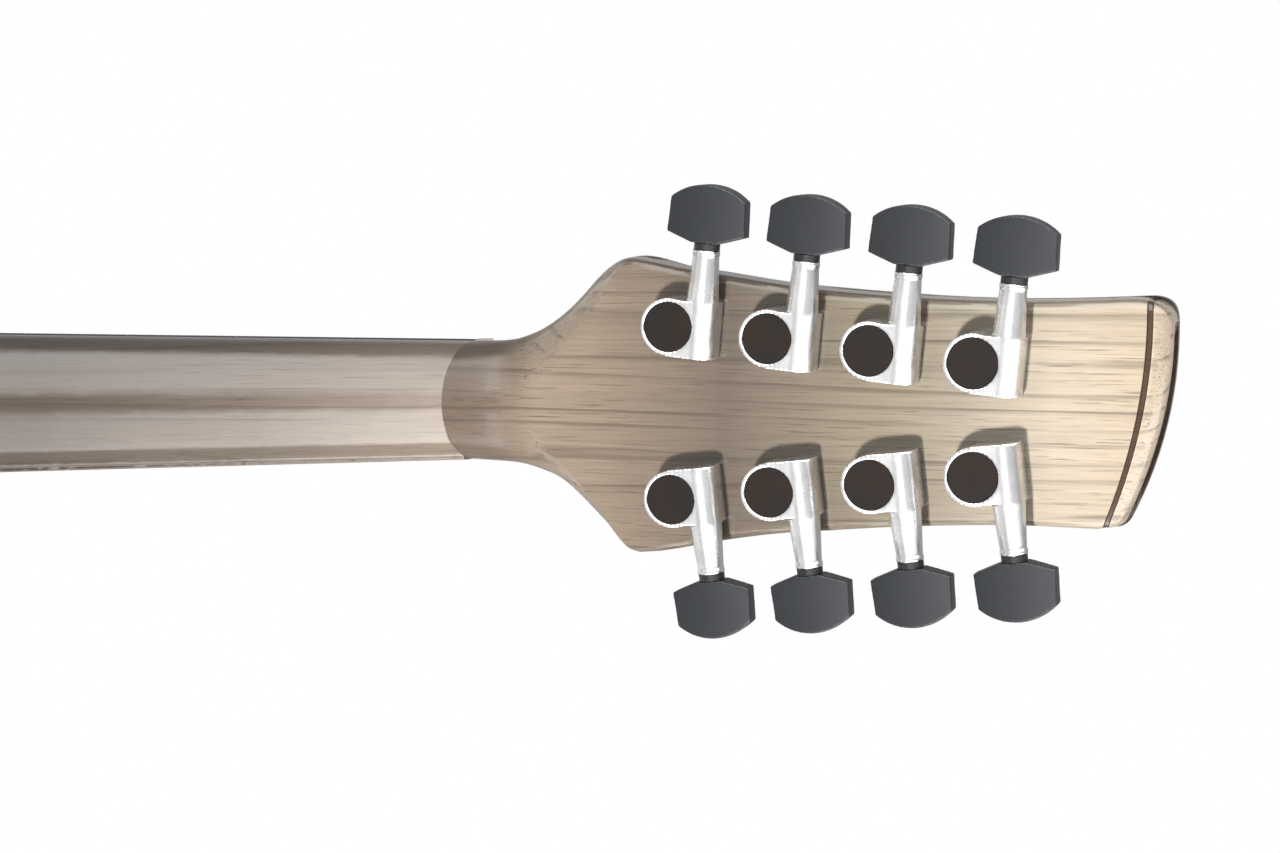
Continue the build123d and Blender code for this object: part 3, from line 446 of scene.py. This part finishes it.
class Workshop:
    """Makes each finish once and dresses pieces with it."""

    def __init__(self) -> None:
        """Start with no finish made."""
        self._made: dict[str, bpy.types.Material] = {}

    def finish(self, slot: str) -> bpy.types.Material:
        """Material of a slot, made when first asked for.

        Args:
            slot: The finish's name.

        Returns:
            Its material.
        """
        if slot not in self._made:
            self._made[slot] = FINISHES[slot].make()
        return self._made[slot]

    def dress(self, piece: bpy.types.Object, slot: str) -> None:
        """Give a piece one finish over its whole surface."""
        piece.data.materials.clear()
        piece.data.materials.append(self.finish(slot))


def smooth(piece: bpy.types.Object, angle: float = 32.0) -> None:
    """Shade a mesh smooth apart from its sharp edges.

    Args:
        piece: The piece to shade.
        angle: Edges that bend by more than this many degrees stay sharp.
    """
    mesh = piece.data
    mesh.polygons.foreach_set("use_smooth", [True] * len(mesh.polygons))
    mesh.set_sharp_from_angle(angle=math.radians(angle))


def add_modifier(piece: bpy.types.Object, kind: str, **settings: Any) -> None:
    """Add a modifier.

    Args:
        piece: The piece that gets it.
        kind: The modifier's type.
        settings: Its attributes by name.
    """
    made = piece.modifiers.new(kind.lower(), kind)
    for name, value in settings.items():
        setattr(made, name, value)


def head_point(x: float, along: float, behind: float) -> Vector:
    """Turn a place on the tilted head into a point of the frame.

    Args:
        x: Millimetres towards the treble side.
        along: Millimetres from the nut towards the tip.
        behind: Millimetres behind the head's front face.

    Returns:
        The point in metres.
    """
    y = along * math.sin(HEAD_TILT) + behind * math.cos(HEAD_TILT)
    z = along * math.cos(HEAD_TILT) - behind * math.sin(HEAD_TILT)
    return Vector((x, y, z)) * MM


def through(points: Sequence[tuple[float, float]], at: float) -> float:
    """Height of a smooth curve through points at a place, held level past its ends.

    Args:
        points: Places and heights, in order.
        at: The place to read.

    Returns:
        The height there.
    """
    if at <= points[0][0]:
        return points[0][1]
    if at >= points[-1][0]:
        return points[-1][1]
    i = max(k for k in range(len(points) - 1) if points[k][0] <= at)
    slopes = []
    for k in (i, i + 1):
        low = points[max(k - 1, 0)]
        high = points[min(k + 1, len(points) - 1)]
        slopes.append((high[1] - low[1]) / (high[0] - low[0]))
    (x0, y0), (x1, y1) = points[i], points[i + 1]
    run = x1 - x0
    t = (at - x0) / run
    value = (2 * t**3 - 3 * t**2 + 1) * y0 + (t**3 - 2 * t**2 + t) * run * slopes[0]
    return value + (3 * t**2 - 2 * t**3) * y1 + (t**3 - t**2) * run * slopes[1]


def skin(name: str, rings: Sequence[Sequence[Vector]]) -> bpy.types.Object:
    """Cover closed rings with a mesh and cap its ends.

    Args:
        name: The piece's name.
        rings: Rings of points, all of one length, in order.

    Returns:
        The piece, with its faces pointing outwards.
    """
    count = len(rings[0])
    faces = []
    for i in range(len(rings) - 1):
        for j in range(count):
            k = (j + 1) % count
            faces.append((i * count + j, i * count + k, (i + 1) * count + k, (i + 1) * count + j))
    faces.append(tuple(reversed(range(count))))
    faces.append(tuple(range((len(rings) - 1) * count, len(rings) * count)))
    mesh = bpy.data.meshes.new(name)
    mesh.from_pydata([p for ring in rings for p in ring], [], faces)
    mesh.validate()
    mesh.update()
    piece = bpy.data.objects.new(name, mesh)
    bpy.context.scene.collection.objects.link(piece)
    face_outwards(piece)
    return piece


def face_outwards(piece: bpy.types.Object) -> None:
    """Point every face outwards.

    Args:
        piece: The piece to mend.
    """
    work = bmesh.new()
    work.from_mesh(piece.data)
    bmesh.ops.recalc_face_normals(work, faces=work.faces)
    work.to_mesh(piece.data)
    work.free()


@dataclass
class Headstock:
    """Head and its stem in one timber, from the scarf joint to the slanted tip; sizes in millimetres."""

    shop: Workshop
    thickness: float = 14.5
    veneer: float = 2.5
    bevel: float = 2.4
    nut_half: float = 16.97
    neck_depth: float = 15.07
    neck_flat: float = 1.2
    scarf_slope: float = 7.6 / 14.0
    side_steps: int = 16
    flat_steps: int = 12
    treble: tuple[tuple[float, float], ...] = (
        (8, 17.1), (14.5, 17.8), (20.7, 19.9), (25, 22.2), (30, 25.7), (35, 30.2), (41, 36.4), (44.5, 39.1),
        (48, 40.6), (52, 41.2), (57, 40.6), (66, 38.7), (78, 36.9), (92, 34.7), (106, 32.9), (120, 31.7),
        (134, 30.8), (150, 30.2), (165, 30.1), (179, 30.4))
    bass: tuple[tuple[float, float], ...] = (
        (8, 17.1), (14.5, 17.5), (20.7, 18.7), (25, 20.2), (30, 22.9), (35, 27.1), (41, 32.7), (45.6, 36.8),
        (49, 39.1), (53, 40.1), (58, 39.9), (66, 38.5), (80, 35.6), (95, 33.3), (108, 32.1), (122, 30.8),
        (136, 29.8), (150, 29.1), (163, 28.8), (178, 29.0))
    crown: tuple[tuple[float, float], ...] = (
        (-6, 16.5), (0, 16.2), (9, 15.5), (14, 14.9), (19.8, 14.55), (22, 14.95), (25, 15.6), (30, 16.9),
        (35, 18.4), (41, 20.6), (47, 24.5), (53, 33.0))
    tip_steps: tuple[tuple[float, float, float], ...] = (
        (0.35, 0.45, 0.1), (1.3, 0.5, 0.3), (1.7, 0.15, 0.4), (3.2, 0.4, 0.9), (4.6, 1.1, 1.9),
        (5.6, 2.1, 3.2), (6.15, 3.3, 4.6), (6.4, 4.6, 5.8))
    tip_bow: float = 3.1
    groove_steps: int = 3
    veneer_start: float = 8.0
    crown_end: float = 19.5
    carving: tuple[float, float] = (43.0, 54.0)
    carving_end: float = 56.0
    shaft_flat: float = 2.0
    arrow: tuple[tuple[float, float], ...] = (
        (18.8, 2.6), (19.8, 3.2), (22, 5.6), (25, 8.6), (28, 12.0), (31.5, 15.3), (35.5, 19.4), (41, 26.0),
        (47, 33.0), (53, 38.0))

    def build(self) -> bpy.types.Object:
        """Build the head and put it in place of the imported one.

        Returns:
            The carved head.
        """
        rings = self._rings()
        piece = skin("headstock_carved", rings)
        smooth(piece, 38.0)
        self.shop.dress(piece, "head_wood")
        # The rings of the groove at the tip get a second finish, a painted dark reflection.
        piece.data.materials.append(self.shop.finish("painted_groove_reflection"))
        count = len(rings[0])
        groove = len(rings) - len(self.tip_steps) - 1
        for face in piece.data.polygons:
            if groove * count <= face.index < (groove + self.groove_steps) * count:
                face.material_index = 1
        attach(piece, "instrument")
        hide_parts("headstock")
        LOG.info("carved %s with %d sections", piece.name, len(rings))
        return piece

    def _rings(self) -> list[list[Vector]]:
        """Work out every section of the head.

        Returns:
            Closed sections from the joint to the tip.
        """
        first = self._scarf_ring()
        regular = [self._ring((u, u), (through(self.treble, u), through(self.bass, u)))
                   for u in self._stations()]
        eased = [[a.lerp(b, t) for a, b in zip(first, regular[0])] for t in (0.012, 0.25, 0.5, 0.75)]
        return [first] + eased + regular + self._tip_rings()

    @staticmethod
    def _stations() -> list[float]:
        """Choose where the square sections stand.

        Returns:
            Places along the head, closest together in the carving.
        """
        places = [9 + i * 1.5 for i in range(6)] + [18.8, 19.8, 21, 22.5]
        places += [24 + i * 1.6 for i in range(18)]
        return places + [54 + i * 6.0 for i in range(21)]

    def _tip_rings(self) -> list[list[Vector]]:
        """Turn the sections into the slanted, bowed end with its groove and bevel.

        Returns:
            The sections, in order.
        """
        treble = ((182, 30.5), (187, 30.8), (190.4, 30.8), (192.4, 30.6), (192.9, 30.5))
        bass = ((179.0, 29.0), (180.0, 29.0), (180.8, 28.9), (181.4, 28.8), (181.6, 28.7))
        rings = []
        for i, ((ut, xt), (ub, xb)) in enumerate(zip(treble, bass)):
            bow = self.tip_bow * ((i + 1) / len(treble)) ** 1.5
            rings.append(self._ring((ut, ub), (xt, xb), bow))
        (ut, xt), (ub, xb) = treble[-1], bass[-1]
        for out, drop, corner in self.tip_steps:
            ends = (ut + out, ub + out * 0.9)
            halves = (xt - corner, xb - corner * 0.35)
            rings.append(self._ring(ends, halves, self.tip_bow, drop))
        return rings

    def _ring(self, ends: tuple[float, float], halves: tuple[float, float], bow: float = 0.0,
              drop: float = 0.0) -> list[Vector]:
        """Lay out one section of the head.

        Args:
            ends: Its places along the head at the treble and the bass side.
            halves: Half widths towards the treble and the bass side.
            bow: How far its middle stands out towards the tip.
            drop: How far its flat lies below the head's back.

        Returns:
            The section's points, from the treble side's front edge round to the bass side's.
        """
        (ut, ub), (treble, bass) = ends, halves
        u = (ut + ub) / 2
        low = self.veneer if u > self.veneer_start else 0.0
        right = self._side(u, treble, drop, low)
        left = self._side(u, bass, drop, low)
        span = treble + bass

        def put(x: float, w: float) -> Vector:
            """Place one point of the section.

            Args:
                x: Millimetres towards the treble side.
                w: Millimetres behind the front face.

            Returns:
                The point in metres.
            """
            share = (x + bass) / span
            along = ub + (ut - ub) * share + bow * 4 * share * (1 - share)
            return head_point(x, along, w)

        top = self.thickness - drop
        crowned = u < self.crown_end
        ring = [put(x, w) for x, w in right]
        inner_right, inner_left = right[-1][0], left[-1][0]
        for i in range(1, self.flat_steps):
            x = inner_right - (inner_right + inner_left) * i / self.flat_steps
            half = treble if x > 0 else bass
            w = self._dome(u, abs(x), half) if crowned else top
            ring.append(put(x, w))
        ring += [put(-x, w) for x, w in reversed(left)]
        return ring

    def _dome(self, u: float, x: float, half: float) -> float:
        """Height of the stem's elliptic back.

        Args:
            u: Place along the head.
            x: Distance from its centre line.
            half: Half width there.

        Returns:
            Millimetres behind the front face.
        """
        rise = through(self.crown, u) - self.shaft_flat
        return self.shaft_flat + rise * math.sqrt(max(0.0, 1 - (x / half) ** 2))

    def _side(self, u: float, half: float, drop: float, low: float) -> list[tuple[float, float]]:
        """Side of a section, carved near the neck and upright further on.

        Args:
            u: Place along the head.
            half: Half width there.
            drop: How far the flat lies below the head's back.
            low: Height of the side's front edge.

        Returns:
            Sideways and depth places from the front edge to the flat.
        """
        steps = self.side_steps
        wall = []
        top = self.thickness - drop
        for i in range(steps + 1):
            t = i / steps
            if t < 0.5:
                wall.append((half, low + (top - self.bevel - low) * t / 0.5))
            else:
                turn = math.pi / 2 * (t - 0.5) / 0.5
                inset = self.bevel * (1 - math.cos(turn))
                wall.append((half - inset, top - self.bevel * (1 - math.sin(turn))))
        if u >= self.carving_end:
            return wall
        inner = min(through(self.arrow, u), half - 1.0)
        foot = max(self.shaft_flat, low)
        dome = [(half, low + (foot - low) * i / 2) for i in range(2)]
        rise = steps - 1
        edge = self._dome(u, inner, half) if u < self.crown_end else self.thickness
        for i in range(rise):
            turn = i / (rise - 1)
            x = half * math.cos(turn * math.acos(inner / half))
            share = (self._dome(u, x, half) - foot) / max(self._dome(u, inner, half) - foot, 0.1)
            dome.append((x, foot + (edge - foot) * share))
        start, stop = self.carving
        blend = max(0.0, min(1.0, (u - start) / (stop - start)))
        blend = blend * blend * (3 - 2 * blend)
        return [(a[0] + (b[0] - a[0]) * blend, a[1] + (b[1] - a[1]) * blend) for a, b in zip(dome, wall)]

    def _scarf_ring(self) -> list[Vector]:
        """Section in the sloping joint, which matches the end of the neck shaft.

        Returns:
            The section's points, in the order of the others.
        """
        ring = []
        start = self._stations()[0]
        model = self._ring((start, start), (self.nut_half, self.nut_half))
        for i, point in enumerate(model):
            x = max(-self.nut_half, min(self.nut_half, point.x / MM))
            share = math.sqrt(max(0.0, 1 - (x / self.nut_half) ** 2))
            y = self.neck_flat + (self.neck_depth - self.neck_flat) * share
            if i in (0, len(model) - 1):
                y = 0.0
            z = -(y - self.shaft_flat) * self.scarf_slope
            ring.append(Vector((x, y, z)) * MM)
        return ring


@dataclass
class MachineHeads:
    """Eight sealed machine heads, their castings and mouldings softened at the edges."""

    cast_grid: float = 0.30
    button_grid: float = 0.32

    def build(self) -> None:
        """Soften the castings and the buttons of both rows."""
        for row in ("treble", "bass"):
            self._soften(frame["nodes"][f"tuner_housings_{row}"], self.cast_grid, 3)
            for i in range(1, 5):
                self._soften(frame["nodes"][f"tuner_button_{row}_{i}"], self.button_grid, 2)

    @staticmethod
    def _soften(piece: bpy.types.Object, grid: float, rounds: int) -> None:
        """Round a solid's edges by rebuilding its surface on a fine grid and easing it.

        Args:
            piece: The solid to round.
            grid: Spacing of the grid in millimetres.
            rounds: Number of easing rounds.
        """
        add_modifier(piece, "REMESH", mode="VOXEL", voxel_size=grid * MM, use_smooth_shade=True)
        add_modifier(piece, "SMOOTH", factor=0.5, iterations=rounds)
        LOG.info("softened %s", piece.name)


@dataclass
class FramePieces:
    """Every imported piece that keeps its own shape."""

    shop: Workshop
    body_shell: tuple[str, ...] = ("back", "sides")
    shell_finish: str = "body_wood"

    def build(self) -> None:
        """Smooth and dress each node in its slot's finish."""
        for part in frame["record"]["subparts"]:
            piece = frame["nodes"][part["node"]]
            finish = self.shell_finish if part["node"] in self.body_shell else part["material_slot"]
            self.shop.dress(piece, finish)
            smooth(piece)
            LOG.info("dressed %s in %s", part["node"], finish)


@dataclass
class Studio:
    """Camera, soft light and a pale round floor."""

    camera_place: Point = (78.2, 714.4, 119.4)
    yaw: float = -5.76
    pitch: float = 6.86
    roll: float = 1.03
    focal: float = 2535.0
    frame_width: float = 1280.0
    sensor: float = 36.0
    floor_radius: float = 1.15
    floor_depth: float = 0.02
    floor_sides: int = 96
    key_place: Point = (-0.52, 1.255, -0.36)
    key_power: float = 73.0
    key_radius: float = 0.075
    key_cone: float = 115.0
    softbox_place: Point = (0.7, -1.7, 0.5)
    softbox_power: float = 30.0
    softbox_width: float = 1.1

    def build(self) -> None:
        """Make the camera, the world, the lights and the floor."""
        self._camera()
        self._world()
        key = self._light("key_lamp", Lamp.SPOT, self.key_place, self.key_power)
        key.data.shadow_soft_size = self.key_radius
        key.data.spot_size = math.radians(self.key_cone)
        key.data.spot_blend = 0.6
        front = self._light("front_softbox", Lamp.SOFTBOX, self.softbox_place, self.softbox_power)
        front.data.size = self.softbox_width
        self._floor()

    def _camera(self) -> None:
        """Camera behind the head, lying on its side so that the neck runs across the picture."""
        yaw, pitch, roll = (math.radians(a) for a in (self.yaw, self.pitch, self.roll))
        base = Matrix(((0, 0, 1), (1, 0, 0), (0, 1, 0)))
        about_up = Matrix.Rotation(yaw, 3, "Y")
        about_right = Matrix.Rotation(pitch, 3, "X")
        about_view = Matrix.Rotation(roll, 3, "Z")
        turned = (about_view @ about_right @ about_up @ base).transposed().to_4x4()
        data = bpy.data.cameras.new("camera")
        data.sensor_width = self.sensor
        data.lens = self.focal / self.frame_width * self.sensor
        data.clip_start = 0.01
        camera = bpy.data.objects.new("camera", data)
        camera.matrix_world = Matrix.Translation(Vector(self.camera_place) * MM) @ turned
        bpy.context.scene.collection.objects.link(camera)
        bpy.context.scene.camera = camera

    @staticmethod
    def _world() -> None:
        """White sweep, with softboxes and dark flags that only the polish reflects."""
        world = bpy.data.worlds.new("studio")
        world.use_nodes = True
        bpy.context.scene.world = world
        g = Graph(world.node_tree)
        where = g.node("ShaderNodeTexCoord", output="Generated")
        x, y, z = (g.axis(where, name) for name in "XYZ")
        behind = g.span(y, -0.1, 0.25)
        bass_box = g.span(x * -1.0, 0.16, 0.36) * g.span(z, -0.50, -0.24) * 4.6
        treble_box = g.span(x, 0.08, 0.34) * g.span(z, -0.60, -0.26) * 4.8
        centre_box = g.span(z, -0.26, -0.12) * g.span(z, 0.10, -0.02) * g.span(x, 0.30, 0.10) * 3.0
        sweep = g.span(z, -0.30, -0.42) * 0.70 + 0.24
        polish = behind * (bass_box + treble_box + centre_box + sweep) + (1.0 - behind) * 0.40
        ambient = g.span(z, 0.25, 0.95) * 0.9 + 0.08
        camera = g.node("ShaderNodeLightPath", output="Is Camera Ray")
        bounced = g.node("ShaderNodeLightPath", output="Diffuse Depth")
        direct = 1.0 - g.math("MINIMUM", bounced, 1.0)
        glossy = g.node("ShaderNodeLightPath", output="Is Glossy Ray") * direct
        unseen = glossy * polish + (1.0 - glossy) * ambient
        strength = camera + (1.0 - camera) * unseen
        shader = g.node("ShaderNodeBackground", inputs={"Color": (1.0,) * 4, "Strength": strength})
        g.node("ShaderNodeOutputWorld", inputs={"Surface": shader})

    @staticmethod
    def _light(name: str, kind: Lamp, place: Point, power: float) -> bpy.types.Object:
        """Light aimed at the middle of the head, left out of the reflections.

        Args:
            name: The light's name.
            kind: Its kind.
            place: Where it stands, in metres.
            power: Its power in watts.

        Returns:
            The light.
        """
        data = bpy.data.lights.new(name, kind.value)
        data.energy = power
        light = bpy.data.objects.new(name, data)
        light.visible_glossy = False
        aim = head_point(0, 100, 14) - Vector(place)
        light.matrix_world = Matrix.Translation(place) @ aim.to_track_quat("-Z", "Y").to_matrix().to_4x4()
        bpy.context.scene.collection.objects.link(light)
        return light

    def _floor(self) -> None:
        """Pale round floor under the tail."""
        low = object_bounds()[0][2]
        turns = [math.tau * i / self.floor_sides for i in range(self.floor_sides)]
        rim = [(self.floor_radius * math.cos(turn), self.floor_radius * math.sin(turn)) for turn in turns]
        rings = [[Vector((x, y, low - depth)) for x, y in rim] for depth in (0.0, self.floor_depth)]
        floor = skin("floor", rings)
        material, g = new_material("floor")
        cloud = g.noise(g.place(), 3.0, 3.0)
        g.principled(Base_Color=g.mix(cloud, (0.80, 0.80, 0.79), (0.86, 0.86, 0.85)), Roughness=0.7)
        floor.data.materials.append(material)
        floor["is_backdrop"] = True
        LOG.info("laid %s", floor.name)


def main() -> None:
    """Build the instrument and its studio in order."""
    logging.basicConfig(level=logging.INFO, format="%(name)s: %(message)s")
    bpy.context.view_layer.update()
    shop = Workshop()
    FramePieces(shop).build()
    MachineHeads().build()
    Headstock(shop).build()
    Studio().build()
    bpy.context.scene.view_settings.view_transform = "Standard"
    bpy.context.view_layer.update()


if __name__ == "__main__":
    main()
